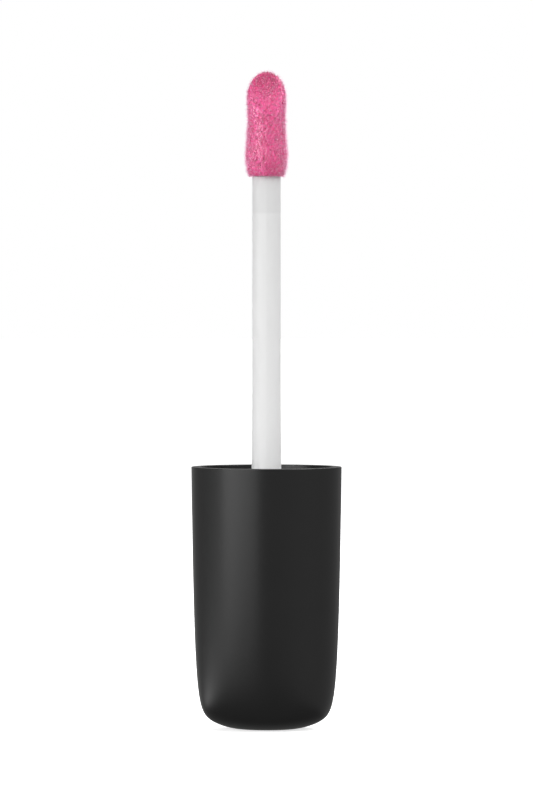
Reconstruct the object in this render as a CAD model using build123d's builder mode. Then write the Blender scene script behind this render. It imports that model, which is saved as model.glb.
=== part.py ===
from build123d import *
import os
from math import radians, tan

# The cap of a lip gloss tube with its doe-foot wand, standing on the cap's closed end.
# Millimetres, +Z up. The origin is the middle of the flat that the cap stands on.
# The applicator's slanted face looks along -Y.

# Overcap: a tapered shell, closed at the bottom and open at the rim
cap_height = 33.2
rim_radius = 9.5
side_draft = 0.7  # degrees
side_curve_start = 30.0
side_curve_handle = 33.0
corner_pull = (8.3, 3.8)
base_pull_radius = 8.0
base_flat_radius = 2.5
rim_wall = 1.15
bore_draft = 0.5  # degrees
rim_round = 0.08
floor_height = 1.5
floor_flat_radius = 4.2
hollow_handle = 14.0
hollow_corner_pull = (7.3, 3.4)
hollow_base_pull_radius = 7.0
seat_height = 17.2
stop_rib_count = 6
stop_rib_thickness = 0.8

# Weight and the hot-melt pad that holds it
glue_radius = 4.0
glue_thickness = 0.4
glue_edge_round = 0.13
weight_radius = 5.6
weight_thickness = 6.5
weight_top_chamfer = 0.3
weight_bottom_chamfer = 1.1
weight_side_gap = 0.15

# Inner cap: threaded liner pressed into the overcap
inner_top = 32.0
inner_floor_thickness = 1.4
crush_rib_height = 0.25
crush_rib_width = 0.5
crush_rib_count = 24
crush_rib_end_margin = 1.0
press_gap = 0.01
mouth_chamfer = 0.3
thread_major_radius = 7.4
thread_minor_radius = 6.7
thread_pitch = 25.4 / 12
thread_turns = 1.75
thread_start = 23.2
thread_root_width = 1.3
thread_crest_width = 0.5
thread_bite = 0.15
boss_radius = 3.6
boss_depth = 4.5
boss_lead_in = 0.35
finger_slot_width = 0.7
finger_slot_depth = 3.4
finger_slot_length = 8.2  # longer than the boss is wide
gusset_reach = 6.2
gusset_drop = 3.4
gusset_thickness = 0.8
gusset_bite = 0.1
gusset_angles = (45, 135, 225, 315)

# Gasket that the bottle's neck seals on
gasket_outer_radius = 7.2
gasket_inner_radius = 2.35
gasket_thickness = 0.8
gasket_edge_round = 0.1

# Wand stem: plug, collar and hollow stem in one moulding
plug_radius = 2.2
plug_clearance = 0.02
plug_chamfer = 0.4
plug_end_gap = 0.2
bead_height = 0.22
bead_half_width = 0.55
bead_middle = 14.5
collar_radius = 3.6
collar_thickness = 0.9
collar_chamfer = 0.2
root_fillet = 0.5
stem_root_radius = 2.04
stem_radius = 1.79
stem_taper_pull = 38.5
stem_taper_end = 43.5
stem_top = 69.95
stem_edge_round = 0.1
bore_radius = 1.1
bore_bottom = 24.0
bore_cone_depth = 0.55

# Doe-foot applicator: soft core, adhesive film and nylon pile, one outside the other
tip_foot_radius = 2.22
tip_foot_tangent = (1, 2)
tip_bulge = (2.64, 72.0)
tip_barrel = (2.52, 74.6)
tip_waist = (2.42, 77.0)
dome_radius = 2.5
dome_base = 79.8
dome_height = 3.6
slant_angle = 27.0  # degrees between the slanted face and the wand's axis
slant_top = (0.8, 84.0)
slant_edge_round = 0.75
pile_depth = 0.55
film_thickness = 0.06
shank_length = 4.7
shank_radius = 0.98
shank_ring_radius = 1.09
shank_ring_width = 0.6
shank_ring_heights = (1.2, 3.0)
shank_chamfer = 0.2

# Heights worked out from the sizes above
rim_bore_radius = rim_radius - rim_wall
inner_floor = seat_height + inner_floor_thickness
boss_bottom = seat_height - boss_depth
gasket_top = inner_floor + gasket_thickness
collar_top = gasket_top + collar_thickness
weight_bottom = floor_height + glue_thickness
shank_bottom = stem_top - shank_length


def bore_radius_at(height):
    """Radius of the overcap's drafted bore at a height."""
    return rim_bore_radius - (cap_height - height) * tan(radians(bore_draft))


def skirt_radius_at(height):
    """Radius of the inner cap's skirt between its crush ribs."""
    return bore_radius_at(height) - crush_rib_height


def tip_form(inset):
    """The applicator's form from the stem's end up, drawn in by inset all over."""
    slant = Plane(
        origin=(0, slant_top[0], slant_top[1]),
        x_dir=(1, 0, 0),
        z_dir=Vector(0, -1, 0).rotate(Axis.X, -slant_angle),
    )
    with BuildPart() as form:
        with BuildSketch(Plane.XZ):
            with BuildLine():
                foot = Line((0, stem_top), (tip_foot_radius - inset, stem_top))
                side = Spline(
                    foot @ 1,
                    (tip_bulge[0] - inset, tip_bulge[1]),
                    (tip_barrel[0] - inset, tip_barrel[1]),
                    (tip_waist[0] - inset, tip_waist[1]),
                    (dome_radius - inset, dome_base),
                    tangents=(tip_foot_tangent, (0, 1)),
                    tangent_scalars=(1.0, 1.0),
                )
                dome = EllipticalCenterArc(
                    (0, dome_base), dome_radius - inset, dome_height - inset, arc_size=90
                )
                Line(dome @ 1, foot @ 0)
            make_face()
        revolve(axis=Axis.Z)
        split(bisect_by=slant.offset(-inset), keep=Keep.BOTTOM)
        slanted_face = form.faces().filter_by(GeomType.PLANE).sort_by(Axis.Z)[-1]
        fillet(slanted_face.edges(), slant_edge_round - inset)
    return form.part


# Hollow of the overcap. The ribs are left standing in it, and the inner cap rests on them.
with BuildPart() as hollow:
    with BuildSketch(Plane.XZ):
        with BuildLine():
            hollow_floor = Line((0, floor_height), (floor_flat_radius, floor_height))
            hollow_corner = Bezier(
                hollow_floor @ 1,
                (hollow_base_pull_radius, floor_height),
                hollow_corner_pull,
                (bore_radius_at(seat_height - hollow_handle), seat_height - hollow_handle),
                (bore_radius_at(seat_height), seat_height),
            )
            hollow_side = Line(hollow_corner @ 1, (rim_bore_radius, cap_height))
            Polyline(hollow_side @ 1, (0, cap_height), hollow_floor @ 0)
        make_face()
    revolve(axis=Axis.Z)
    rib_reach = rim_radius - weight_radius - weight_side_gap
    with BuildSketch(Plane.XY):
        with PolarLocations(rim_radius - rib_reach / 2, stop_rib_count):
            Rectangle(rib_reach, stop_rib_thickness)
    extrude(amount=seat_height, mode=Mode.SUBTRACT)

# Overcap. Its side leaves the draft on one smooth curve that lands level on the flat.
with BuildPart() as overcap:
    side_slope = tan(radians(side_draft))
    with BuildSketch(Plane.XZ):
        with BuildLine():
            base = Line((0, 0), (base_flat_radius, 0))
            draft_end_radius = rim_radius - (cap_height - side_curve_start) * side_slope
            corner = Bezier(
                base @ 1,
                (base_pull_radius, 0),
                corner_pull,
                (
                    draft_end_radius - side_curve_handle * side_slope,
                    side_curve_start - side_curve_handle,
                ),
                (draft_end_radius, side_curve_start),
            )
            side = Line(corner @ 1, (rim_radius, cap_height))
            Polyline(side @ 1, (0, cap_height), base @ 0)
        make_face()
    revolve(axis=Axis.Z)
    add(hollow.part, mode=Mode.SUBTRACT)
    rim_edges = overcap.edges().group_by(Axis.Z)[-1].sort_by(SortBy.RADIUS)
    fillet(rim_edges[-1], rim_round)
    rim_edges = overcap.edges().group_by(Axis.Z)[-1].sort_by(SortBy.RADIUS)
    fillet(rim_edges[0], rim_round)
overcap.part.label = "overcap"

# Hot-melt pad between the overcap's floor and the weight
with BuildPart() as weight_glue:
    with BuildSketch(Plane.XY.offset(floor_height)):
        Circle(glue_radius)
    extrude(amount=glue_thickness)
    fillet(weight_glue.edges().group_by(Axis.Z)[0], glue_edge_round)
weight_glue.part.label = "weight_glue"

# Steel disc that gives the cap its heft and keeps it standing
with BuildPart() as cap_weight:
    with BuildSketch(Plane.XY.offset(weight_bottom)):
        Circle(weight_radius)
    extrude(amount=weight_thickness)
    chamfer(cap_weight.edges().group_by(Axis.Z)[-1], weight_top_chamfer)
    chamfer(cap_weight.edges().group_by(Axis.Z)[0], weight_bottom_chamfer)
cap_weight.part.label = "cap_weight"

# Crush ribs, cut from a ring that fills the gap between the skirt and the overcap's bore
with BuildPart() as crush_ribs:
    rib_bottom = seat_height + crush_rib_end_margin
    rib_top = inner_top - crush_rib_end_margin
    with BuildSketch(Plane.XZ):
        with BuildLine():
            Polyline(
                (skirt_radius_at(rib_bottom) - crush_rib_height, rib_bottom - crush_rib_height),
                (skirt_radius_at(rib_bottom), rib_bottom - crush_rib_height),
                (bore_radius_at(rib_bottom) - press_gap, rib_bottom + crush_rib_height),
                (bore_radius_at(rib_top) - press_gap, rib_top),
                (skirt_radius_at(rib_top), rib_top),
                (skirt_radius_at(rib_top) - crush_rib_height, rib_top),
                close=True,
            )
        make_face()
    revolve(axis=Axis.Z)
    with BuildSketch(Plane.XY.offset(seat_height)):
        with PolarLocations(rim_bore_radius, crush_rib_count):
            Rectangle(rim_wall * 2, crush_rib_width)
    extrude(amount=inner_top - seat_height, mode=Mode.INTERSECT)

# Inner cap: skirt, floor and the slotted boss behind it that grips the wand's plug
with BuildPart() as inner_cap:
    socket_radius = plug_radius + plug_clearance
    with BuildSketch(Plane.XZ):
        with BuildLine():
            skirt = Polyline(
                (boss_radius, seat_height),
                (skirt_radius_at(seat_height), seat_height),
                (skirt_radius_at(inner_top), inner_top),
                (thread_major_radius + mouth_chamfer, inner_top),
                (thread_major_radius, inner_top - mouth_chamfer),
                (thread_major_radius, inner_floor),
                (socket_radius, inner_floor),
                (socket_radius, bead_middle + bead_half_width),
            )
            groove = ThreePointArc(
                skirt @ 1,
                (socket_radius + bead_height, bead_middle),
                (socket_radius, bead_middle - bead_half_width),
            )
            Polyline(
                groove @ 1,
                (socket_radius, boss_bottom + boss_lead_in),
                (socket_radius + boss_lead_in, boss_bottom),
                (boss_radius, boss_bottom),
                skirt @ 0,
            )
        make_face()
    revolve(axis=Axis.Z)
    with BuildSketch(Plane.XY.offset(boss_bottom)):
        Rectangle(finger_slot_length, finger_slot_width)
        Rectangle(finger_slot_width, finger_slot_length)
    extrude(amount=finger_slot_depth, mode=Mode.SUBTRACT)
    with BuildSketch(*[Plane.XZ.rotated((0, 0, angle)) for angle in gusset_angles]):
        with BuildLine():
            Polyline(
                (boss_radius - gusset_bite, seat_height + gusset_bite),
                (gusset_reach, seat_height + gusset_bite),
                (gusset_reach, seat_height),
                (boss_radius - gusset_bite, seat_height - gusset_drop),
                close=True,
            )
        make_face()
    extrude(amount=gusset_thickness / 2, both=True)
    with BuildLine() as thread_path:
        Helix(
            thread_pitch,
            thread_pitch * thread_turns,
            thread_major_radius,
            center=(0, 0, thread_start),
        )
    path_start = Plane(
        origin=thread_path.line @ 0, x_dir=(1, 0, 0), z_dir=thread_path.line % 0
    )
    with BuildSketch(path_start):
        with BuildLine():
            Polyline(
                (thread_bite, thread_root_width / 2),
                (0, thread_root_width / 2),
                (thread_minor_radius - thread_major_radius, thread_crest_width / 2),
                (thread_minor_radius - thread_major_radius, -thread_crest_width / 2),
                (0, -thread_root_width / 2),
                (thread_bite, -thread_root_width / 2),
                close=True,
            )
        make_face()
    sweep(path=thread_path.line, is_frenet=True)
    add(crush_ribs.part)
inner_cap.part.label = "inner_cap"

# Gasket: a foam washer on the inner cap's floor, held down by the wand's collar
with BuildPart() as neck_gasket:
    with BuildSketch(Plane.XY.offset(inner_floor)):
        Circle(gasket_outer_radius)
        Circle(gasket_inner_radius, mode=Mode.SUBTRACT)
    extrude(amount=gasket_thickness)
    outer_edges = neck_gasket.edges().filter_by(GeomType.CIRCLE).group_by(SortBy.RADIUS)[-1]
    fillet(outer_edges, gasket_edge_round)
neck_gasket.part.label = "neck_gasket"

# Wand stem: the plug snaps into the boss, the collar clamps the gasket, and the bore takes
# the applicator's shank
with BuildPart() as wand_stem:
    plug_end = boss_bottom + plug_end_gap
    with BuildSketch(Plane.XZ):
        with BuildLine():
            plug = Polyline(
                (0, plug_end),
                (plug_radius - plug_chamfer, plug_end),
                (plug_radius, plug_end + plug_chamfer),
                (plug_radius, bead_middle - bead_half_width),
            )
            bead = ThreePointArc(
                plug @ 1,
                (plug_radius + bead_height, bead_middle),
                (plug_radius, bead_middle + bead_half_width),
            )
            collar = Polyline(
                bead @ 1,
                (plug_radius, gasket_top),
                (collar_radius, gasket_top),
                (collar_radius, collar_top - collar_chamfer),
                (collar_radius - collar_chamfer, collar_top),
                (stem_root_radius + root_fillet, collar_top),
            )
            root = RadiusArc(
                collar @ 1, (stem_root_radius, collar_top + root_fillet), root_fillet
            )
            taper = Bezier(
                root @ 1, (stem_radius, stem_taper_pull), (stem_radius, stem_taper_end)
            )
            Polyline(
                taper @ 1,
                (stem_radius, stem_top),
                (bore_radius, stem_top),
                (bore_radius, bore_bottom),
                (0, bore_bottom - bore_cone_depth),
                plug @ 0,
            )
        make_face()
    revolve(axis=Axis.Z)
    end_edges = wand_stem.edges().group_by(Axis.Z)[-1].sort_by(SortBy.RADIUS)
    fillet(end_edges[-1], stem_edge_round)
wand_stem.part.label = "wand_stem"

core_form = tip_form(pile_depth + film_thickness)
film_form = tip_form(pile_depth)
pile_form = tip_form(0)

# Applicator core: the soft doe-foot, and the ringed shank that is pushed into the stem
with BuildPart() as applicator_core:
    add(core_form)
    with BuildSketch(Plane.XY.offset(shank_bottom)):
        Circle(shank_radius)
    extrude(amount=shank_length)
    for ring_height in shank_ring_heights:
        with BuildSketch(Plane.XY.offset(shank_bottom + ring_height)):
            Circle(shank_ring_radius)
        extrude(amount=shank_ring_width)
    chamfer(applicator_core.edges().group_by(Axis.Z)[0], shank_chamfer)
applicator_core.part.label = "applicator_core"

# Adhesive film over the core
with BuildPart() as flock_adhesive:
    add(film_form)
    add(core_form, mode=Mode.SUBTRACT)
flock_adhesive.part.label = "flock_adhesive"

# Nylon pile, as one layer as deep as its fibres are long
with BuildPart() as applicator_flock:
    add(pile_form)
    add(film_form, mode=Mode.SUBTRACT)
applicator_flock.part.label = "applicator_flock"

os.makedirs("parts", exist_ok=True)
pieces = (
    overcap,
    weight_glue,
    cap_weight,
    inner_cap,
    neck_gasket,
    wand_stem,
    applicator_core,
    flock_adhesive,
    applicator_flock,
)
for piece in pieces:
    export_step(piece.part, f"parts/{piece.part.label}.step")
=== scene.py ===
import math

import bmesh
import bpy
import numpy as np
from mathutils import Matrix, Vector
from mathutils.kdtree import KDTree


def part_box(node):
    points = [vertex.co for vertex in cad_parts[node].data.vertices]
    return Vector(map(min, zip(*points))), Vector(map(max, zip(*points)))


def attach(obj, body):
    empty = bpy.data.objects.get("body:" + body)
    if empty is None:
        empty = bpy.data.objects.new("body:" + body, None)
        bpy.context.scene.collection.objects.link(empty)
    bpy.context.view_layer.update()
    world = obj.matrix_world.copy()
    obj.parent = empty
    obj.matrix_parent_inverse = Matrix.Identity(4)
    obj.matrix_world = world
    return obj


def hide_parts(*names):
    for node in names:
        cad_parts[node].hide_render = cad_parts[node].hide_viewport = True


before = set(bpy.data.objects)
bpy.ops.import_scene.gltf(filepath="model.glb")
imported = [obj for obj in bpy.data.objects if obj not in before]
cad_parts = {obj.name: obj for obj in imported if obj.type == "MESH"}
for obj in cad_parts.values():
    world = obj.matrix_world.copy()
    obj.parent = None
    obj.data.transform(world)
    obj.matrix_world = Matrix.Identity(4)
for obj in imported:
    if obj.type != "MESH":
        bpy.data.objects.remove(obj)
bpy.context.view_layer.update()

# Lengths below are millimetres, as in the CAD model. Meshes are scaled to metres when made.
MM = 0.001


def height_span(node):
    """The lowest and the highest height of a CAD node."""
    low, high = (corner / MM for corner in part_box(node))
    return low.z, high.z


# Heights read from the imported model
_, CAP_HEIGHT = height_span("overcap")
BOSS_BOTTOM, LINER_TOP = height_span("inner_cap")
LINER_FLOOR, GASKET_TOP = height_span("neck_gasket")
_, STEM_TOP = height_span("wand_stem")
SHANK_BOTTOM, _ = height_span("applicator_core")

# Overcap
RIM_RADIUS = 9.5
SIDE_DRAFT = math.tan(math.radians(0.7))
BORE_DRAFT = math.tan(math.radians(0.5))
RIM_BORE_RADIUS = 8.35
RIM_ROUND = 0.08
BASE_FLAT_RADIUS = 2.5
SEAT_HEIGHT = 17.2
FLOOR_HEIGHT = 1.5
FLOOR_FLAT_RADIUS = 4.2
INNERMOST_RADIUS = 0.4
STOP_RIB_COUNT = 6
STOP_RIB_HALF = 0.4
STOP_RIB_INNER = 5.75

# Inner cap
SKIRT_GAP = 0.25
CRUSH_RIB_COUNT = 24
CRUSH_RIB_HEIGHT = 0.24
CRUSH_RIB_HALF = 0.28
THREAD_MAJOR = 7.4
THREAD_DEPTH = 0.7
THREAD_PITCH = 25.4 / 12
THREAD_TURNS = 1.75
THREAD_START = 23.2
THREAD_ROOT_HALF = 0.65
THREAD_CREST_HALF = 0.25
THREAD_FADE_TURNS = 0.06
BOSS_RADIUS = 3.6
SOCKET_RADIUS = 2.22
BEAD_MIDDLE = 14.5
BEAD_HALF = 0.55
BEAD_HEIGHT = 0.22
SLOT_HALF = 0.35
SLOT_LENGTH = 3.4
WEB_HALF = 0.4
WEB_INNER = 3.4
WEB_OUTER = 6.2

# Wand
COLLAR_RADIUS = 3.6
COLLAR_TOP = GASKET_TOP + 0.9
PLUG_RADIUS = 2.2
STEM_RADIUS = 1.79
STEM_ROOT_RADIUS = 2.04
STEM_BORE_RADIUS = 1.1
STEM_BORE_BOTTOM = 24.0
PARTING_LINE_HEIGHT = 0.03

# Flocked tip. Each pair is a radius and a height, apart from the slant's top, whose first
# number is its distance behind the axis.
PILE_DEPTH = 0.55
TIP_FOOT_RADIUS = 2.22
TIP_BULGE = (2.64, 72.0)
TIP_BARREL = (2.52, 74.6)
TIP_WAIST = (2.42, 77.0)
DOME_RADIUS = 2.5
DOME_BASE = 79.8
DOME_HEIGHT = 3.6
SLANT_ANGLE = math.radians(27)
SLANT_TOP = (0.8, 84.0)
SLANT_SOFTNESS = 1.0


# ---------------------------------------------------------------- curves and meshes


def bezier(points, count):
    """Points along a Bezier curve of any degree."""
    poles = np.array(points, float)
    degree = len(poles) - 1
    t = np.linspace(0, 1, count)[:, None]
    return sum(
        math.comb(degree, i) * (1 - t) ** (degree - i) * t**i * poles[i]
        for i in range(degree + 1)
    )


def arc(centre, radius, start, end, count):
    """Points along a circular arc, angles in degrees."""
    angles = np.radians(np.linspace(start, end, count))
    return np.column_stack(
        (centre[0] + radius * np.cos(angles), centre[1] + radius * np.sin(angles))
    )


def run(start, end, count):
    """Evenly spaced points from start to end."""
    return np.linspace(start, end, count)


def joined(*parts):
    """One outline from several, leaving out points that repeat."""
    points = np.vstack([np.atleast_2d(part) for part in parts])
    steps = np.linalg.norm(np.diff(points, axis=0), axis=1)
    return points[np.concatenate(([True], steps > 1e-6))]


def circle_angles(count):
    """Angles evenly spaced round a full turn."""
    return np.arange(count) * 2 * math.pi / count


def rings_from(outline, angles):
    """Rings of points for an outline of (radius, height) turned about Z."""
    radius, height = outline[:, 0][:, None], outline[:, 1][:, None]
    return np.stack(
        (radius * np.cos(angles), radius * np.sin(angles), height + 0 * angles),
        axis=2,
    )


def ring_faces(ring_count, size):
    """Quads between each ring and the next, wound so that they face outward."""
    near = np.arange(ring_count - 1)[:, None] * size + np.arange(size)
    side = np.arange(ring_count - 1)[:, None] * size + (np.arange(size) + 1) % size
    return np.stack((near, side, side + size, near + size), axis=2).reshape(-1, 4)


def closed_stack(rings):
    """Vertices and faces of a closed form: rings, with a middle point beyond each end ring."""
    count, size, _ = rings.shape
    vertices = rings.reshape(-1, 3)
    ends = np.array([rings[0].mean(axis=0), rings[-1].mean(axis=0)])
    first, last = len(vertices), len(vertices) + 1
    faces = ring_faces(count, size).tolist()
    top = (count - 1) * size
    for k in range(size):
        faces.append((first, (k + 1) % size, k))
        faces.append((last, top + k, top + (k + 1) % size))
    return np.vstack((vertices, ends)), faces


def closed_loop(rings):
    """Vertices and faces of a hollow form, whose last ring joins up with its first."""
    count, size, _ = rings.shape
    faces = ring_faces(count, size).tolist()
    last = (count - 1) * size
    faces += [(last + k, last + (k + 1) % size, (k + 1) % size, k) for k in range(size)]
    return rings.reshape(-1, 3), faces


def make_object(name, vertices, faces, material, sharp_angle=40):
    """A smooth-shaded mesh object, with edges sharper than sharp_angle kept sharp."""
    mesh = bpy.data.meshes.new(name)
    mesh.from_pydata((np.asarray(vertices) * MM).tolist(), [], faces)
    mesh.update()
    mesh.shade_smooth()
    if sharp_angle:
        mesh.set_sharp_from_angle(angle=math.radians(sharp_angle))
    mesh.materials.append(material)
    piece = bpy.data.objects.new(name, mesh)
    bpy.context.scene.collection.objects.link(piece)
    return piece


def stands_for(piece, node):
    """The piece rides on the one body, and hides the CAD node."""
    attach(piece, "root")
    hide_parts(node)


# ---------------------------------------------------------------- materials


def grey(value):
    """A neutral colour."""
    return (value, value, value)


class Shader:
    """A Principled material, with short names for making and joining its nodes."""

    def __init__(self, name):
        """Starts with only the Principled node and the output."""
        self.material = bpy.data.materials.new(name)
        self.material.use_nodes = True
        self.tree = self.material.node_tree
        self.principled = self.tree.nodes["Principled BSDF"]
        self.place = None

    def node(self, kind, **settings):
        """A new node with these settings."""
        made = self.tree.nodes.new(kind)
        for key, value in settings.items():
            setattr(made, key, value)
        return made

    def link(self, output, target):
        """Joins an output to an input."""
        self.tree.links.new(output, target)

    def drive(self, name, output):
        """Joins an output to the Principled input of this name."""
        self.link(output, self.principled.inputs[name])

    def set(self, **values):
        """Sets Principled inputs. Their names have underscores for spaces."""
        for key, value in values.items():
            self.principled.inputs[key.replace("_", " ")].default_value = value

    def millimetres(self):
        """Object coordinates in millimetres."""
        if self.place is None:
            coordinates = self.node("ShaderNodeTexCoord")
            scaled = self.node("ShaderNodeVectorMath", operation="SCALE")
            scaled.inputs["Scale"].default_value = 1 / MM
            self.link(coordinates.outputs["Object"], scaled.inputs[0])
            self.place = scaled.outputs[0]
        return self.place

    def noise(self, per_mm, detail=3.0, stretch=None):
        """Noise with this many features a millimetre.

        Stretch multiplies the coordinates, so a number below 1 draws the features out.
        """
        made = self.node("ShaderNodeTexNoise")
        made.inputs["Scale"].default_value = per_mm
        made.inputs["Detail"].default_value = detail
        place = self.millimetres()
        if stretch:
            stretched = self.node("ShaderNodeVectorMath", operation="MULTIPLY")
            stretched.inputs[1].default_value = stretch
            self.link(place, stretched.inputs[0])
            place = stretched.outputs[0]
        self.link(place, made.inputs["Vector"])
        return made.outputs["Fac"]

    def ramp(self, value, low, high, start=0.3, end=0.7):
        """A number or colour that goes from low to high as value goes from start to end."""
        if isinstance(low, tuple):
            made = self.node("ShaderNodeMix", data_type="RGBA")
            made.inputs["A"].default_value = (*low, 1)
            made.inputs["B"].default_value = (*high, 1)
            spread = self.ramp(value, 0.0, 1.0, start, end)
            self.link(spread, made.inputs["Factor"])
            return made.outputs["Result"]
        made = self.node("ShaderNodeMapRange")
        made.inputs["From Min"].default_value = start
        made.inputs["From Max"].default_value = end
        made.inputs["To Min"].default_value = low
        made.inputs["To Max"].default_value = high
        self.link(value, made.inputs["Value"])
        return made.outputs["Result"]

    def height(self):
        """Height above the base, in millimetres."""
        parts = self.node("ShaderNodeSeparateXYZ")
        self.link(self.millimetres(), parts.inputs[0])
        return parts.outputs["Z"]

    def bump(self, value, distance):
        """Surface relief of this many millimetres."""
        made = self.node("ShaderNodeBump")
        made.inputs["Distance"].default_value = distance * MM
        made.inputs["Strength"].default_value = 1.0
        self.link(value, made.inputs["Height"])
        self.drive("Normal", made.outputs["Normal"])


def soft_touch_black():
    """The overcap's coat: near black, with a fine grain and a faintly uneven sheen."""
    shader = Shader("soft_touch_black")
    shader.set(IOR=1.42)
    cloud = shader.noise(0.25, detail=2)
    grain = shader.noise(14, detail=2)
    shader.drive("Base Color", shader.ramp(cloud, grey(0.0028), grey(0.0036)))
    shader.drive("Roughness", shader.ramp(grain, 0.275, 0.305))
    shader.bump(grain, 0.0006)
    return shader.material


def bare_black():
    """The overcap's uncoated rim and hollow, streaked along the way that the melt flowed."""
    shader = Shader("bare_black")
    shader.set(IOR=1.5)
    flow = shader.noise(0.6, stretch=(1, 1, 0.25))
    shader.drive("Base Color", shader.ramp(flow, grey(0.004), grey(0.006)))
    shader.drive("Roughness", shader.ramp(flow, 0.25, 0.4))
    shader.bump(shader.noise(4), 0.0004)
    return shader.material


def liner_black():
    """The inner cap's black polypropylene."""
    shader = Shader("liner_black")
    shader.set(IOR=1.49)
    flow = shader.noise(0.8, stretch=(1, 1, 0.2))
    shader.drive("Base Color", shader.ramp(flow, grey(0.012), (0.017, 0.017, 0.0175)))
    shader.drive("Roughness", shader.ramp(flow, 0.24, 0.34))
    shader.bump(shader.noise(5), 0.0007)
    return shader.material


def gasket_foam():
    """Off-white foam, with a dimple for each cell."""
    shader = Shader("gasket_foam")
    cells = shader.node("ShaderNodeTexVoronoi")
    cells.inputs["Scale"].default_value = 7
    shader.link(shader.millimetres(), cells.inputs["Vector"])
    dimple = cells.outputs["Distance"]
    shader.set(Roughness=0.75, Subsurface_Weight=0.15, Subsurface_Scale=0.5 * MM)
    shader.drive(
        "Base Color", shader.ramp(dimple, (0.8, 0.79, 0.76), (0.66, 0.65, 0.62), 0, 0.8)
    )
    shader.bump(dimple, 0.03)
    return shader.material


def turned_steel():
    """Steel with fine rings about the axis, as a lathe leaves them."""
    shader = Shader("weight_steel")
    distance = shader.node("ShaderNodeVectorMath", operation="LENGTH")
    flat = shader.node("ShaderNodeVectorMath", operation="MULTIPLY")
    flat.inputs[1].default_value = (1, 1, 0)
    shader.link(shader.millimetres(), flat.inputs[0])
    shader.link(flat.outputs[0], distance.inputs[0])
    rings = shader.node("ShaderNodeTexNoise", noise_dimensions="1D")
    rings.inputs["Scale"].default_value = 9
    shader.link(distance.outputs["Value"], rings.inputs["W"])
    shader.set(Metallic=1.0, Base_Color=(0.56, 0.57, 0.58, 1))
    shader.drive("Roughness", shader.ramp(rings.outputs["Fac"], 0.22, 0.42))
    shader.bump(rings.outputs["Fac"], 0.006)
    return shader.material


def hot_melt():
    """Cloudy amber glue with a soft, uneven surface."""
    shader = Shader("hot_melt")
    cloud = shader.noise(0.9)
    shader.set(Roughness=0.3, Subsurface_Weight=0.4, Subsurface_Scale=1.0 * MM)
    shader.drive("Base Color", shader.ramp(cloud, (0.72, 0.58, 0.34), (0.82, 0.7, 0.46)))
    shader.bump(shader.noise(2), 0.03)
    return shader.material


def milky_plastic():
    """Milky plastic, with painted shade that darkens it towards the tip and where the shank fills
    it, where it is also a little duller.
    """
    shader = Shader("stem_white")
    shader.set(
        IOR=1.49,
        Subsurface_Weight=1.0,
        Subsurface_Radius=(1.0, 1.0, 1.0),
        Subsurface_Scale=1.8 * MM,
    )
    shank_edge = (SHANK_BOTTOM - 0.15, SHANK_BOTTOM + 0.15)
    fade = (36, 65)
    # Painted shade: these shares scale the colour down towards the tip, and again where the shank
    # fills the bore.
    rim_shade_share, tip_shade_share, shank_shade_share = 1.01, 0.87, 0.935
    flow = shader.noise(0.5, stretch=(1, 1, 0.12))
    colour = shader.ramp(flow, grey(0.868), grey(0.884))
    for shade_share in (
        shader.ramp(shader.height(), rim_shade_share, tip_shade_share, *fade),
        shader.ramp(shader.height(), 1.0, shank_shade_share, *shank_edge),
    ):
        painted_shade = shader.node("ShaderNodeVectorMath", operation="SCALE")
        shader.link(colour, painted_shade.inputs[0])
        shader.link(shade_share, painted_shade.inputs["Scale"])
        colour = painted_shade.outputs[0]
    shader.drive("Base Color", colour)
    mottle = shader.ramp(shader.noise(3, stretch=(1, 1, 0.3)), -0.02, 0.02)
    polish = shader.ramp(shader.height(), 0.44, 0.53, *shank_edge)
    roughness = shader.node("ShaderNodeMath")
    shader.link(mottle, roughness.inputs[0])
    shader.link(polish, roughness.inputs[1])
    shader.drive("Roughness", roughness.outputs[0])
    shader.bump(shader.noise(2, stretch=(1, 1, 0.25)), 0.002)
    return shader.material


def core_rubber():
    """The doe-foot core's off-white elastomer."""
    shader = Shader("core_elastomer")
    shader.set(Roughness=0.55, Subsurface_Weight=0.4, Subsurface_Scale=0.5 * MM)
    shader.drive(
        "Base Color", shader.ramp(shader.noise(1.5), (0.7, 0.7, 0.69), (0.78, 0.78, 0.77))
    )
    return shader.material


def adhesive_film():
    """Pink adhesive in blots, under the pile."""
    shader = Shader("flock_glue")
    shader.set(Roughness=0.45)
    blots = shader.noise(4)
    shader.drive("Base Color", shader.ramp(blots, (0.5, 0.045, 0.15), (0.66, 0.09, 0.23)))
    shader.bump(blots, 0.03)
    return shader.material


def nylon_pile():
    """Pink nylon, with painted shade that darkens the tip's very top. Light passes through the
    fibres' free ends.
    """
    shader = Shader("flock_pink")
    shader.set(
        Roughness=0.28,
        Specular_IOR_Level=0.8,
        Subsurface_Weight=0.3,
        Subsurface_Radius=(1.0, 0.5, 0.65),
        Subsurface_Scale=0.1 * MM,
    )
    # Painted shade: the colour turns a darker pink over the tip's very top.
    top_shade_heights = (79.6, 82.8)
    shades = shader.noise(5)
    colour = shader.ramp(shades, (0.91, 0.08, 0.31), (0.95, 0.16, 0.42), 0.38, 0.62)
    top_shade = shader.node("ShaderNodeMix", data_type="RGBA")
    shader.link(shader.ramp(shader.height(), 0.0, 0.95, *top_shade_heights), top_shade.inputs["Factor"])
    shader.link(colour, top_shade.inputs["A"])
    top_shade.inputs["B"].default_value = (0.62, 0.03, 0.17, 1)
    shader.drive("Base Color", top_shade.outputs["Result"])
    passing = shader.node("ShaderNodeBsdfTranslucent")
    passing.inputs["Color"].default_value = (1, 0.86, 0.94, 1)
    free_end = shader.node("ShaderNodeAttribute", attribute_name="free_end").outputs["Fac"]
    mixed = shader.node("ShaderNodeMixShader")
    shader.link(shader.ramp(free_end, 0.0, 0.9, 0.0, 0.7), mixed.inputs[0])
    shader.link(shader.principled.outputs[0], mixed.inputs[1])
    shader.link(passing.outputs[0], mixed.inputs[2])
    shader.link(mixed.outputs[0], shader.tree.nodes["Material Output"].inputs["Surface"])
    return shader.material


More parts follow.
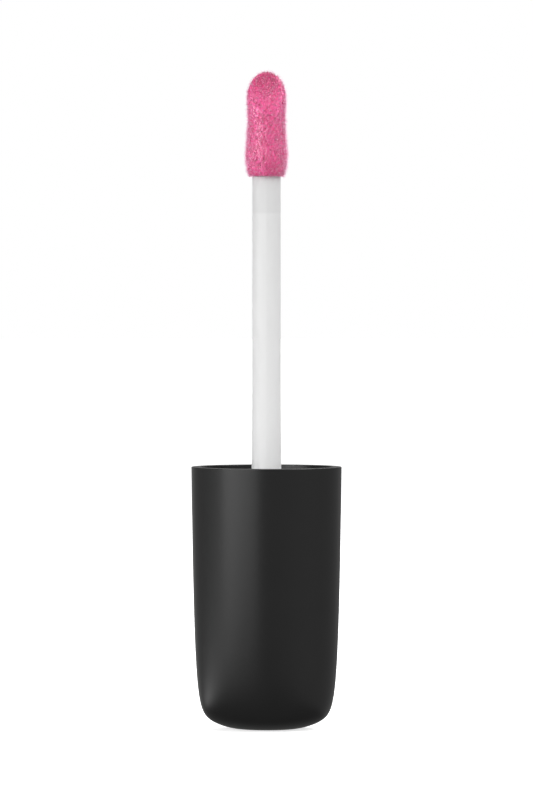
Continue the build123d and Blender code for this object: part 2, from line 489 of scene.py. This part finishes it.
def studio_floor():
    """Matt white that glows, so that it comes close to the backdrop."""
    shader = Shader("studio_floor")
    shader.set(Roughness=0.9, Specular_IOR_Level=0.1)
    shader.set(Emission_Color=(1, 1, 1, 1), Emission_Strength=0.7)
    shader.drive("Base Color", shader.ramp(shader.noise(0.01), grey(0.86), grey(0.88)))
    return shader.material


# ---------------------------------------------------------------- overcap


def side_outline():
    """The overcap's outside: a flat base that eases on one curve into the drafted side."""
    curve_start, handle = 30.0, 33.0
    corner_poles = ((8.0, 0), (8.3, 3.8))
    rim_lead = 0.04
    radius = RIM_RADIUS - (CAP_HEIGHT - curve_start) * SIDE_DRAFT
    curve = bezier(
        (
            (BASE_FLAT_RADIUS, 0),
            *corner_poles,
            (radius - handle * SIDE_DRAFT, curve_start - handle),
            (radius, curve_start),
        ),
        72,
    )
    rim = arc((RIM_RADIUS - RIM_ROUND, CAP_HEIGHT - RIM_ROUND), RIM_ROUND, 0, 90, 7)
    straight = run((radius, curve_start), rim[0] - (rim_lead * SIDE_DRAFT, rim_lead), 8)
    return joined(run((INNERMOST_RADIUS, 0), (BASE_FLAT_RADIUS, 0), 5), curve, straight, rim)


def bore_radius_at(height):
    """The radius of the overcap's drafted bore."""
    return RIM_BORE_RADIUS - (CAP_HEIGHT - height) * BORE_DRAFT


def hollow_outline():
    """The overcap's hollow as a rim, a bore and a bottom that ends at the floor's middle."""
    handle = 14.0
    corner_poles = ((7.3, 3.4), (7.0, FLOOR_HEIGHT))
    rim = arc((RIM_BORE_RADIUS + RIM_ROUND, CAP_HEIGHT - RIM_ROUND), RIM_ROUND, 90, 180, 7)
    bore_start = SEAT_HEIGHT - handle
    curve = bezier(
        (
            (bore_radius_at(SEAT_HEIGHT), SEAT_HEIGHT),
            (bore_radius_at(bore_start), bore_start),
            *corner_poles,
            (FLOOR_FLAT_RADIUS, FLOOR_HEIGHT),
        ),
        40,
    )
    floor = run((FLOOR_FLAT_RADIUS, FLOOR_HEIGHT), (INNERMOST_RADIUS, FLOOR_HEIGHT), 6)
    bore = run(
        (bore_radius_at(CAP_HEIGHT - RIM_ROUND), CAP_HEIGHT - RIM_ROUND),
        (bore_radius_at(SEAT_HEIGHT), SEAT_HEIGHT),
        6,
    )
    return rim, bore, joined(curve, floor)


def add_stop_ribs(rings, angles):
    """Pulls the hollow's rings in to the ribs that the inner cap rests on."""
    least_depth = 0.02
    per_rib = len(angles) // STOP_RIB_COUNT
    for ring in rings:
        wall = np.hypot(ring[0, 0], ring[0, 1])
        if wall <= STOP_RIB_INNER + least_depth:
            continue
        wall_turn = math.asin(STOP_RIB_HALF / wall)
        inner_turn = math.atan2(STOP_RIB_HALF, STOP_RIB_INNER)
        inner = math.hypot(STOP_RIB_INNER, STOP_RIB_HALF)
        for rib in range(STOP_RIB_COUNT):
            middle = rib * 2 * math.pi / STOP_RIB_COUNT
            places = (
                (-2, wall, -wall_turn),
                (-1, inner, -inner_turn),
                (0, STOP_RIB_INNER, 0),
                (1, inner, inner_turn),
                (2, wall, wall_turn),
            )
            for step, radius, turn in places:
                k = (rib * per_rib + step) % len(angles)
                ring[k, 0] = radius * math.cos(middle + turn)
                ring[k, 1] = radius * math.sin(middle + turn)
    return rings


def make_overcap():
    """The shell: its outside is coated, and its rim and hollow are bare moulded plastic."""
    fan_reach = 1
    angles = circle_angles(360)
    rim, bore, bottom = hollow_outline()
    coated = side_outline()
    outside = rings_from(joined(coated, rim, bore), angles)
    inside = add_stop_ribs(rings_from(bottom, angles), angles)
    vertices, faces = closed_stack(np.vstack((outside, inside)))
    piece = make_object("overcap_shell", vertices, faces, soft_touch_black(), 30)
    piece.data.materials.append(bare_black())
    # The fans round the axis come last, and the one that closes the outside stays coated.
    bare_from = (len(coated) - 1) * len(angles)
    for polygon in piece.data.polygons:
        middle = polygon.center.to_2d().length / MM
        if polygon.index >= bare_from and middle > fan_reach:
            polygon.material_index = 1
    stands_for(piece, "overcap")


# ---------------------------------------------------------------- inner cap


def skirt_rings(angles):
    """The skirt's outside, with crush ribs that start just above the seat.

    The rib share is how much of a rib stands at each height.
    """
    crest_sharpness = 1.4
    heights = np.array([SEAT_HEIGHT, 17.9, 18.2, 18.7, 22, 26, 30, 30.9, 31.0, LINER_TOP])
    rib_share = np.array([0, 0, 0, 1, 1, 1, 1, 1, 0, 0])
    radius = bore_radius_at(heights) - SKIRT_GAP
    rings = rings_from(np.column_stack((radius, heights)), angles)
    pitch = 2 * math.pi / CRUSH_RIB_COUNT
    offset = np.abs((angles + pitch / 2) % pitch - pitch / 2) * RIM_BORE_RADIUS
    crest = np.clip(crest_sharpness * (1 - offset / CRUSH_RIB_HALF), 0, 1) * CRUSH_RIB_HEIGHT
    swell = 1 + crest[None, :] * rib_share[:, None] / radius[:, None]
    rings[:, :, :2] *= swell[:, :, None]
    return rings


def thread_depth(height, angles):
    """How far the thread stands in from the wall at a height, for each angle."""
    turn = angles / (2 * math.pi)
    depth = np.zeros_like(angles)
    for lap in range(math.ceil(THREAD_TURNS) + 1):
        along = turn + lap
        middle = THREAD_START + along * THREAD_PITCH
        fade = np.clip(np.minimum(along, THREAD_TURNS - along) / THREAD_FADE_TURNS, 0, 1)
        slope = THREAD_ROOT_HALF - THREAD_CREST_HALF
        flank = np.clip((THREAD_ROOT_HALF - np.abs(height - middle)) / slope, 0, 1)
        rounded = flank * flank * (3 - 2 * flank)
        depth = np.maximum(depth, (0.5 * flank + 0.5 * rounded) * fade * THREAD_DEPTH)
    return depth


def threaded_rings(angles):
    """The skirt's inside from its mouth to the floor, with the thread standing in from it."""
    plain_step, thread_step = 0.6, 0.05
    mouth_lead, least_step, margin = 0.5, 0.3, 0.1
    top = THREAD_START + THREAD_TURNS * THREAD_PITCH + THREAD_ROOT_HALF + margin
    bottom = THREAD_START - THREAD_ROOT_HALF - margin
    heights = np.concatenate(
        (
            np.arange(LINER_TOP - mouth_lead, top + least_step, -plain_step),
            np.arange(top, bottom, -thread_step),
            np.arange(bottom, LINER_FLOOR + least_step, -plain_step),
        )
    )
    outline = np.column_stack((np.full(len(heights), THREAD_MAJOR), heights))
    rings = rings_from(outline, angles)
    for ring, height in zip(rings, heights):
        ring[:, :2] *= (1 - thread_depth(height, angles) / THREAD_MAJOR)[:, None]
    return rings


def cut_and_join(piece, cutters, operation):
    """Applies a boolean with each helper mesh in turn, and deletes the helpers."""
    for cutter in cutters:
        change = piece.modifiers.new("change", "BOOLEAN")
        change.operation = operation
        change.solver = "EXACT"
        change.object = cutter
        graph = bpy.context.evaluated_depsgraph_get()
        mesh = bpy.data.meshes.new_from_object(piece.evaluated_get(graph))
        piece.modifiers.clear()
        old = piece.data
        piece.data = mesh
        bpy.data.meshes.remove(old)
        bpy.data.objects.remove(cutter)


def prism(name, corners, half_width, turn):
    """A flat plate with these (radius, height) corners, stood up at an angle about Z."""
    count = len(corners)
    sides = []
    for offset in (-half_width, half_width):
        for radius, height in corners:
            x = radius * math.cos(turn) - offset * math.sin(turn)
            y = radius * math.sin(turn) + offset * math.cos(turn)
            sides.append((x, y, height))
    faces = [tuple(range(count)), tuple(range(2 * count - 1, count - 1, -1))]
    for k in range(count):
        after = (k + 1) % count
        faces.append((k, count + k, count + after, after))
    mesh = bpy.data.meshes.new(name)
    mesh.from_pydata((np.array(sides) * MM).tolist(), [], faces)
    editable = bmesh.new()
    editable.from_mesh(mesh)
    bmesh.ops.recalc_face_normals(editable, faces=editable.faces)
    editable.to_mesh(mesh)
    editable.free()
    plate = bpy.data.objects.new(name, mesh)
    bpy.context.scene.collection.objects.link(plate)
    return plate


def bead_outline(radius, way, count):
    """The snap bead's section on a wall, from its top down if way is 1, or up if it is -1."""
    turn = np.linspace(0, math.pi, count)
    return np.column_stack(
        (radius + BEAD_HEIGHT * np.sin(turn), BEAD_MIDDLE + way * BEAD_HALF * np.cos(turn))
    )


def boss_outline():
    """Down the boss's socket with its snap groove, and back up its outside to the seat."""
    mouth_chamfer, end_chamfer, fillet = 0.35, 0.15, 0.3
    floor_gap, end_lead = 0.2, 0.6
    seat_inner, seat_inset = 5.0, 0.4
    groove_top, groove_bottom = BEAD_MIDDLE + BEAD_HALF, BEAD_MIDDLE - BEAD_HALF
    chamfer_start = (SOCKET_RADIUS, BOSS_BOTTOM + mouth_chamfer)
    seat_outer = bore_radius_at(SEAT_HEIGHT) - seat_inset
    return joined(
        run((SOCKET_RADIUS, LINER_FLOOR - floor_gap), (SOCKET_RADIUS, groove_top), 5),
        bead_outline(SOCKET_RADIUS, 1, 11),
        run((SOCKET_RADIUS, groove_bottom), chamfer_start, 4),
        (SOCKET_RADIUS + mouth_chamfer, BOSS_BOTTOM),
        (BOSS_RADIUS - end_chamfer, BOSS_BOTTOM),
        (BOSS_RADIUS, BOSS_BOTTOM + end_chamfer),
        run((BOSS_RADIUS, BOSS_BOTTOM + end_lead), (BOSS_RADIUS, SEAT_HEIGHT - fillet), 5),
        arc((BOSS_RADIUS + fillet, SEAT_HEIGHT - fillet), fillet, 180, 90, 5),
        run((seat_inner, SEAT_HEIGHT), (seat_outer, SEAT_HEIGHT), 3),
    )


def slots_and_webs(piece):
    """Cuts the boss's four slots, and adds the four webs that brace it under the seat."""
    slot_reach, slot_low = 4.5, 12
    slot_top = BOSS_BOTTOM + SLOT_LENGTH
    slot = (
        (-slot_reach, slot_low),
        (slot_reach, slot_low),
        (slot_reach, slot_top),
        (-slot_reach, slot_top),
    )
    slots = [prism("slot", slot, SLOT_HALF, turn) for turn in (0, math.pi / 2)]
    cut_and_join(piece, slots, "DIFFERENCE")
    web_top, web_drop = 17.5, 3.4
    web = (
        (WEB_INNER, web_top),
        (WEB_OUTER, web_top),
        (WEB_OUTER, SEAT_HEIGHT),
        (WEB_INNER, SEAT_HEIGHT - web_drop),
    )
    webs = [prism("web", web, WEB_HALF, math.pi / 4 + k * math.pi / 2) for k in range(4)]
    cut_and_join(piece, webs, "UNION")


def make_inner_cap():
    """The liner: ribbed skirt, threaded bore, floor, and the slotted boss under it."""
    land_inset, mouth_chamfer, corner = 0.33, 0.3, 0.25
    sharp_angle = math.radians(32)
    angles = circle_angles(360)
    land_start = (bore_radius_at(LINER_TOP) - land_inset, LINER_TOP)
    top = joined(
        run(land_start, (THREAD_MAJOR + mouth_chamfer, LINER_TOP), 3),
        (THREAD_MAJOR, LINER_TOP - mouth_chamfer),
    )
    floor = joined(
        arc((THREAD_MAJOR - corner, LINER_FLOOR + corner), corner, 0, -90, 6),
        run((THREAD_MAJOR - corner, LINER_FLOOR), (SOCKET_RADIUS, LINER_FLOOR), 5),
    )
    rings = np.vstack(
        (
            skirt_rings(angles),
            rings_from(top, angles),
            threaded_rings(angles),
            rings_from(floor, angles),
            rings_from(boss_outline(), angles),
        )
    )
    piece = make_object("inner_cap_liner", *closed_loop(rings), liner_black(), 0)
    slots_and_webs(piece)
    piece.data.shade_smooth()
    piece.data.set_sharp_from_angle(angle=sharp_angle)
    stands_for(piece, "inner_cap")


# ---------------------------------------------------------------- gasket and wand


def make_gasket():
    """The foam washer: round-edged, and pinched a little where the collar sits on it."""
    inner, outer, edge, pinch = 2.35, 7.2, 0.16, 0.02
    flat_start = 0.6
    print_lead, print_outer, print_inner = 0.5, 0.1, 0.2
    outline = joined(
        arc((outer - edge, LINER_FLOOR + edge), edge, -90, 0, 7),
        arc((outer - edge, GASKET_TOP - edge), edge, 0, 90, 7),
        run((outer - flat_start, GASKET_TOP), (COLLAR_RADIUS + print_lead, GASKET_TOP), 6),
        (COLLAR_RADIUS + print_outer, GASKET_TOP - pinch),
        (COLLAR_RADIUS - print_inner, GASKET_TOP - pinch),
        arc((inner + edge, GASKET_TOP - pinch - edge), edge, 90, 180, 7),
        arc((inner + edge, LINER_FLOOR + edge), edge, 180, 270, 7),
        run((inner + flat_start, LINER_FLOOR), (outer - flat_start, LINER_FLOOR), 6),
    )
    rings = rings_from(outline, circle_angles(144))
    piece = make_object("neck_gasket_foam", *closed_loop(rings), gasket_foam())
    stands_for(piece, "neck_gasket")


def make_wand():
    """Plug, bead, collar and hollow stem in one moulding, with a fine parting line."""
    plug_end, plug_chamfer = BOSS_BOTTOM + 0.2, 0.4
    innermost, bore_point = 0.3, 0.4
    lead, wall = 1, 0.3
    collar_chamfer, collar_edge = 0.08, 0.2
    root, edge = 0.5, 0.1
    taper_start, taper_pole, taper_end = 20.9, 38.5, 43.5
    taper = bezier(
        (
            (STEM_ROOT_RADIUS, taper_start),
            (STEM_RADIUS, taper_pole),
            (STEM_RADIUS, taper_end),
        ),
        24,
    )
    outline = joined(
        (innermost, plug_end),
        (PLUG_RADIUS - plug_chamfer, plug_end),
        (PLUG_RADIUS, plug_end + plug_chamfer),
        bead_outline(PLUG_RADIUS, -1, 13),
        run((PLUG_RADIUS, BEAD_MIDDLE + lead), (PLUG_RADIUS, GASKET_TOP), 5),
        (COLLAR_RADIUS - collar_chamfer, GASKET_TOP),
        (COLLAR_RADIUS, GASKET_TOP + collar_chamfer),
        arc((COLLAR_RADIUS - collar_edge, COLLAR_TOP - collar_edge), collar_edge, 0, 90, 7),
        arc((STEM_ROOT_RADIUS + root, COLLAR_TOP + root), root, 270, 180, 9),
        taper,
        run((STEM_RADIUS, taper_end + lead), (STEM_RADIUS, STEM_TOP - lead), 14),
        arc((STEM_RADIUS - edge, STEM_TOP - edge), edge, 0, 90, 6),
        run((STEM_BORE_RADIUS, STEM_TOP), (STEM_BORE_RADIUS, STEM_BORE_BOTTOM), 14),
        (innermost, STEM_BORE_BOTTOM - bore_point),
    )
    angles = circle_angles(144)
    rings = rings_from(outline, angles)
    outside = outline[:, 0] > STEM_BORE_RADIUS + wall
    on_stem = (outline[:, 1] > COLLAR_TOP + root) & outside
    for quarter in (1, 3):
        column = quarter * len(angles) // 4
        rings[on_stem, column, :2] *= 1 + PARTING_LINE_HEIGHT / STEM_RADIUS
    vertices, faces = closed_stack(rings)
    piece = make_object("wand_stem_moulding", vertices, faces, milky_plastic(), 35)
    stands_for(piece, "wand_stem")


# ---------------------------------------------------------------- flocked tip


def cubic_through(points, first_slope, last_slope, count):
    """Smooth (radius, height) outline through points, as Hermite spans in height."""
    radii = np.array([p[0] for p in points])
    heights = np.array([p[1] for p in points])
    slopes = np.gradient(radii, heights)
    slopes[0], slopes[-1] = first_slope, last_slope
    outline = []
    for k in range(len(points) - 1):
        span = heights[k + 1] - heights[k]
        t = np.linspace(0, 1, count)
        radius = (
            (2 * t**3 - 3 * t**2 + 1) * radii[k]
            + (t**3 - 2 * t**2 + t) * span * slopes[k]
            + (3 * t**2 - 2 * t**3) * radii[k + 1]
            + (t**3 - t**2) * span * slopes[k + 1]
        )
        outline.append(np.column_stack((radius, heights[k] + span * t)))
    return joined(*outline)


def tip_rings(inset, angles):
    """The doe-foot's form drawn in by inset, with its front cut back to the slanted face."""
    foot_slope, dome_slope = 0.5, 0.0
    places = (
        (TIP_FOOT_RADIUS, STEM_TOP),
        TIP_BULGE,
        TIP_BARREL,
        TIP_WAIST,
        (DOME_RADIUS, DOME_BASE),
    )
    drawn_in = [(radius - inset, height) for radius, height in places]
    side = cubic_through(drawn_in, foot_slope, dome_slope, 16)
    turn = np.linspace(0, math.pi / 2, 48)[:-1]
    dome = np.column_stack(
        (
            (DOME_RADIUS - inset) * np.cos(turn),
            DOME_BASE + (DOME_HEIGHT - inset) * np.sin(turn),
        )
    )
    rings = rings_from(joined(side, dome), angles)
    facing = np.array([0, -math.cos(SLANT_ANGLE), math.sin(SLANT_ANGLE)])
    start = np.array([0, *SLANT_TOP]) - facing * inset
    beyond = (rings - start) @ facing
    blend = np.clip(0.5 - 0.5 * beyond / SLANT_SOFTNESS, 0, 1)
    kept = beyond * blend - SLANT_SOFTNESS * blend * (1 - blend)
    return rings + (kept - beyond)[:, :, None] * facing


def triangle_corners(rings):
    """Corners of the triangles between rings, and of the fan that closes the last one."""
    count, size, _ = rings.shape
    vertices = np.vstack((rings.reshape(-1, 3), rings[-1].mean(axis=0)))
    quads = ring_faces(count, size)
    last = (count - 1) * size
    around = np.arange(size)
    fan = np.column_stack(
        (last + around, last + (around + 1) % size, np.full(size, count * size))
    )
    triangles = np.vstack((quads[:, (0, 1, 2)], quads[:, (0, 2, 3)], fan))
    return vertices[triangles]


def scattered(corners, count, random):
    """Evenly scattered points on triangles, with the surface's normal at each."""
    cross = np.cross(corners[:, 1] - corners[:, 0], corners[:, 2] - corners[:, 0])
    area = np.linalg.norm(cross, axis=1)
    chosen = random.choice(len(corners), count, p=area / area.sum())
    u, v = random.random((2, count, 1))
    folded = u + v > 1
    u, v = np.where(folded, 1 - u, u), np.where(folded, 1 - v, v)
    a, b, c = corners[chosen].transpose(1, 0, 2)
    normals = cross[chosen] / area[chosen][:, None]
    return a + u * (b - a) + v * (c - a), normals


def unit(vectors):
    """The vectors brought to length 1."""
    return vectors / np.linalg.norm(vectors, axis=1)[:, None]


def nearest(points, centres):
    """For each point, which centre is nearest."""
    tree = KDTree(len(centres))
    for k, centre in enumerate(centres):
        tree.insert(Vector(centre), k)
    tree.balance()
    return np.array([tree.find(Vector(point))[1] for point in points])


def fibre_directions(roots, normals, random):
    """Which way each fibre points: brushed one way in patches, and drawn together in tufts.

    The pile lies calmer near the foot than at the top.
    """
    jitter = 0.27
    calm_height, lively_height = 72, 79
    # How many there are, how far they lean, and how strongly they draw together
    patches = (120, 0.07, 0.0)
    tufts = (9500, 0.32, 0.4)
    direction = normals + random.normal(0, jitter, roots.shape)
    liveliness = np.interp(roots[:, 2], (calm_height, lively_height), (0.45, 1.2))[:, None]
    for count, lean, pull in (patches, tufts):
        centres = roots[random.choice(len(roots), count, replace=False)]
        owner = nearest(roots, centres)
        direction += liveliness * random.normal(0, lean, (count, 3))[owner]
        direction += liveliness * (centres[owner] - roots) * pull / PILE_DEPTH
    return unit(direction)


def bumpy(rings, depth, random):
    """Rings pushed in and out a little at random, smoothly from each point to the next."""
    least_reach = 0.5
    push = random.normal(0, 1, rings.shape[:2])
    for axis in (0, 1):
        push = push + 0.5 * (np.roll(push, 1, axis) + np.roll(push, -1, axis))
    push *= depth / push.std()
    middle = rings.mean(axis=1, keepdims=True)
    outward = rings - middle
    reach = np.linalg.norm(outward, axis=2, keepdims=True)
    return middle + outward * (1 + push[:, :, None] / np.maximum(reach, least_reach))


def fibre_mesh(roots, normals, length, thickness, random):
    """Each fibre as a three-sided spike: its four vertices, and its faces numbered from 0."""
    direction = fibre_directions(roots, normals, random)
    ends = roots + direction * length[:, None]
    helper = unit(np.cross(direction, random.normal(0, 1, direction.shape)))
    other = np.cross(direction, helper)
    corners = [
        roots + thickness[:, None] * (math.cos(turn) * helper + math.sin(turn) * other)
        for turn in (0, 2 * math.pi / 3, 4 * math.pi / 3)
    ]
    vertices = np.stack((*corners, ends), axis=1).reshape(-1, 3)
    spike = ((0, 2, 1), (0, 1, 3), (1, 2, 3), (2, 0, 3))
    faces = [
        tuple(4 * fibre + corner for corner in face)
        for fibre in range(len(roots))
        for face in spike
    ]
    return vertices, faces


def make_pile():
    """The nylon pile: a dense bumpy body, and the free ends of the fibres that stand out of it."""
    body_inset, root_inset = 0.18, 0.27
    short_count, long_count = 23000, 14000
    short_length, long_length = (0.16, 0.3), (0.4, 0.68)
    short_thickness, long_thickness = 0.036, 0.025
    short_passing, long_passing = 0.1, 1.0
    bump_depth = 0.03
    random = np.random.default_rng(7)
    angles = circle_angles(150)
    body = bumpy(tip_rings(body_inset, angles), bump_depth, random)
    count = short_count + long_count
    roots, normals = scattered(triangle_corners(tip_rings(root_inset, angles)), count, random)
    length = np.concatenate(
        (random.uniform(*short_length, short_count), random.uniform(*long_length, long_count))
    )
    is_long = np.arange(count) >= short_count
    thickness = np.where(is_long, long_thickness, short_thickness)
    fibres, fibre_faces = fibre_mesh(roots, normals, length, thickness, random)
    vertices, faces = closed_stack(body)
    start = len(vertices)
    faces += [tuple(start + corner for corner in face) for face in fibre_faces]
    piece = make_object("flock_pile", np.vstack((vertices, fibres)), faces, nylon_pile(), 0)
    # Only a fibre's fourth vertex, its free end, passes light.
    passing = np.zeros((count, 4))
    passing[:, 3] = np.where(is_long, long_passing, short_passing)
    free_end = piece.data.attributes.new("free_end", "FLOAT", "POINT")
    free_end.data.foreach_set("value", np.append(np.zeros(start), passing))
    stands_for(piece, "applicator_flock")


# ---------------------------------------------------------------- CAD pieces that stay


def dress_cad_pieces():
    """Puts a detailed material on each CAD node whose shape stays."""
    dressed = (
        ("cap_weight", turned_steel()),
        ("weight_glue", hot_melt()),
        ("applicator_core", core_rubber()),
        ("flock_adhesive", adhesive_film()),
    )
    for node, material in dressed:
        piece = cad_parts[node]
        piece.data.materials.clear()
        piece.data.materials.append(material)


# ---------------------------------------------------------------- studio


def make_floor():
    """A wide white disc just under the object, which no reflection or bounced light sees."""
    radius, hub, depth = 2500, 50, -0.02
    rings = rings_from(np.array([(radius, depth), (hub, depth)]), circle_angles(96))
    size = rings.shape[1]
    vertices = np.vstack((rings.reshape(-1, 3), (0, 0, depth)))
    faces = ring_faces(2, size).tolist()
    faces += [(size + k, size + (k + 1) % size, 2 * size) for k in range(size)]
    floor = make_object("floor", vertices, faces, studio_floor(), 0)
    floor.visible_glossy = False
    floor.visible_diffuse = False


def heading(azimuth, elevation):
    """Which way a direction points. Azimuth 0 is towards the camera, and 90 is right."""
    a, e = math.radians(azimuth), math.radians(elevation)
    return Vector((math.sin(a) * math.cos(e), -math.cos(a) * math.cos(e), math.sin(e)))


def softbox(name, away, width, height, power, mirrored):
    """A rectangular lamp that faces the object, with distance and sides in metres.

    The camera doesn't see it, and reflections see it only if it is mirrored.
    """
    distance = 0.7
    aim_height = 35
    aim = Vector((0, 0, aim_height * MM))
    lamp = bpy.data.lights.new(name, "AREA")
    lamp.shape = "RECTANGLE"
    lamp.size, lamp.size_y, lamp.energy = width, height, power
    holder = bpy.data.objects.new(name, lamp)
    holder.location = aim + away * distance
    holder.rotation_euler = (-away).to_track_quat("-Z", "Y").to_euler()
    holder.visible_camera = False
    holder.visible_glossy = mirrored
    bpy.context.scene.collection.objects.link(holder)


def make_lamps():
    """A key on the left, a fill high on the right, and two behind that light the edges."""
    for name, away, width, height, power, mirrored in (
        ("key", heading(-42, 9.5), 0.75, 0.225, 2.95, True),
        ("fill", heading(75, 48), 0.5, 0.5, 3.45, True),
        ("rear", heading(180, 52), 0.5, 0.5, 2.0, True),
        ("backdrop_glow", heading(180, 8), 0.9, 0.9, 3.2, False),
    ):
        softbox(name, away, width, height, power, mirrored)


def make_world():
    """The camera sees a white backdrop. The light comes from a room that is brighter in front
    than behind and dimmer below, with a bright band on the left and a faint patch behind."""
    world = bpy.data.worlds.new("studio")
    world.use_nodes = True
    bpy.context.scene.world = world
    tree = world.node_tree
    nodes, links = tree.nodes, tree.links
    nodes.clear()
    direction = nodes.new("ShaderNodeTexCoord").outputs["Generated"]

    def toward(way, start, end, low, high):
        """A number that goes from low to high as the cosine to way goes from start to end."""
        along = nodes.new("ShaderNodeVectorMath")
        along.operation = "DOT_PRODUCT"
        along.inputs[1].default_value = way
        links.new(direction, along.inputs[0])
        spread = nodes.new("ShaderNodeMapRange")
        spread.interpolation_type = "SMOOTHSTEP"
        for name, value in (
            ("From Min", start),
            ("From Max", end),
            ("To Min", low),
            ("To Max", high),
        ):
            spread.inputs[name].default_value = value
        links.new(along.outputs["Value"], spread.inputs["Value"])
        return spread.outputs["Result"]

    def combined(operation, *values):
        """All the values added or multiplied together."""
        result = values[0]
        for value in values[1:]:
            step = nodes.new("ShaderNodeMath")
            step.operation = operation
            links.new(result, step.inputs[0])
            links.new(value, step.inputs[1])
            result = step.outputs[0]
        return result

    front = toward(heading(0, 6), -0.9, 0.56, 0.25, 0.67)
    above = toward(heading(114, 77), -0.2, -0.168, 0.56, 1.0)
    room = combined("MULTIPLY", front, above)

    # The band is what two facing edges leave of a broad glow on the left.
    left = toward(heading(-79, -7), 0.4, 0.9, 0.0, 3.1)
    across, half_width = heading(-135.2, 77.8), 0.08
    lower_edge = toward(across, -half_width, 0, 0.0, 1.0)
    upper_edge = toward(across, half_width, 0, 0.0, 1.0)
    band = combined("MULTIPLY", left, lower_edge, upper_edge)

    patch = toward(heading(-165, -4), 0.961, 0.99, 0.0, 0.12)
    output = nodes.new("ShaderNodeOutputWorld")
    backdrop = nodes.new("ShaderNodeBackground")
    backdrop.inputs["Strength"].default_value = 1.0
    light = nodes.new("ShaderNodeBackground")
    links.new(combined("ADD", room, band, patch), light.inputs["Strength"])
    for background in (backdrop, light):
        background.inputs["Color"].default_value = (1, 1, 1, 1)
    choose = nodes.new("ShaderNodeMixShader")
    path = nodes.new("ShaderNodeLightPath")
    links.new(path.outputs["Is Camera Ray"], choose.inputs[0])
    links.new(light.outputs[0], choose.inputs[1])
    links.new(backdrop.outputs[0], choose.inputs[2])
    links.new(choose.outputs[0], output.inputs["Surface"])


def make_camera():
    """A long lens a little above the rim, framed as the photograph is."""
    distance, elevation = 1200.0, 1.9
    frame_height, middle_height = 101.06, 41.63
    sensor = 36
    data = bpy.data.cameras.new("camera")
    data.sensor_width = sensor
    data.lens = sensor * distance / frame_height
    camera = bpy.data.objects.new("camera", data)
    height = CAP_HEIGHT + distance * math.tan(math.radians(elevation))
    camera.location = Vector((0, -distance, height)) * MM
    aim = Vector((0, 0, middle_height)) * MM
    camera.rotation_euler = (aim - camera.location).to_track_quat("-Z", "Y").to_euler()
    bpy.context.scene.collection.objects.link(camera)
    bpy.context.scene.camera = camera


make_overcap()
make_inner_cap()
make_gasket()
make_wand()
make_pile()
dress_cad_pieces()
make_floor()
make_world()
make_lamps()
make_camera()
bpy.context.scene.view_settings.view_transform = "Standard"

bpy.context.view_layer.update()
